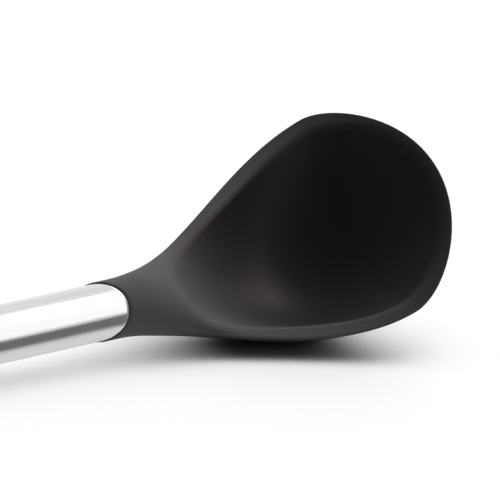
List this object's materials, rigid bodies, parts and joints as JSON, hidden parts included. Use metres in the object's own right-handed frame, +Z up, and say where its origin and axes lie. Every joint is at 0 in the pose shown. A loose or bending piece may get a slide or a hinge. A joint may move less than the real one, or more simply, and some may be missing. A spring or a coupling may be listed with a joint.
{
  "type": "ladle",
  "caption": "Kitchen ladle with a deep black silicone bowl on a round brushed steel tube handle with a hanging eye, lying on one flank of the bowl.",
  "frame": {"origin": "on the table, under the middle of the ladle's box as it lies on one flank of the bowl and the edge of its tail cap", "axes": "+X along the handle towards the tip of the bowl, +Y across, towards the bowl's raised side, +Z up"},
  "size_m": [0.329, 0.0794, 0.0716],
  "materials": {
    "silicone": "matte black silicone",
    "steel": "brushed lengthwise",
    "nylon": "as moulded",
    "pin_steel": "drawn wire"
  },
  "bodies": {
    "root": {"silicone_head": "silicone", "head_core": "nylon", "handle_tube": "steel", "front_plug": "nylon", "lock_pin": "pin_steel", "tail_cap": "steel"}
  },
  "joints": []
}
